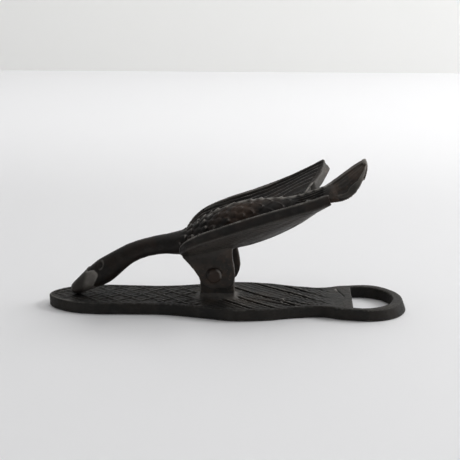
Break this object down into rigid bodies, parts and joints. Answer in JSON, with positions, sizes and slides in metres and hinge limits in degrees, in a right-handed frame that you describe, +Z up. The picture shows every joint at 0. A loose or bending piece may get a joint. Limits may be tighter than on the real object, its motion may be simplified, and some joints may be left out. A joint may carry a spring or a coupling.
{
  "type": "nutcracker",
  "caption": "Cast-iron table nutcracker: a stooping goose is the lever, riveted to a post on a long flat plate with a finger ring.",
  "frame": {"origin": "middle of the plate's length and width, on its flat underside", "axes": "+X along the plate from the head end to the finger ring, +Y across the plate, +Z up"},
  "size_m": [0.1752, 0.07, 0.0755],
  "materials": {
    "plate_iron": "old blackened cast iron, greenish-grey sheen, net and reed relief, worn bright along its edges",
    "goose_iron": "old blackened cast iron with a brown cast, scale and feather relief, worn smooth on head and wing rims",
    "rivet_steel": "darkened steel rivet, its turned rim rubbed brighter"
  },
  "bodies": {
    "base": {"base_plate": "plate_iron", "pivot_rivet": "rivet_steel"},
    "goose": {"goose_lever": "goose_iron"}
  },
  "joints": [
    {"name": "goose_pivot", "type": "hinge", "parent": "base", "child": "goose", "pos_m": [-0.0054, 0, 0.0189], "axis": [0, 1, 0], "range_deg": [0, 41]}
  ]
}
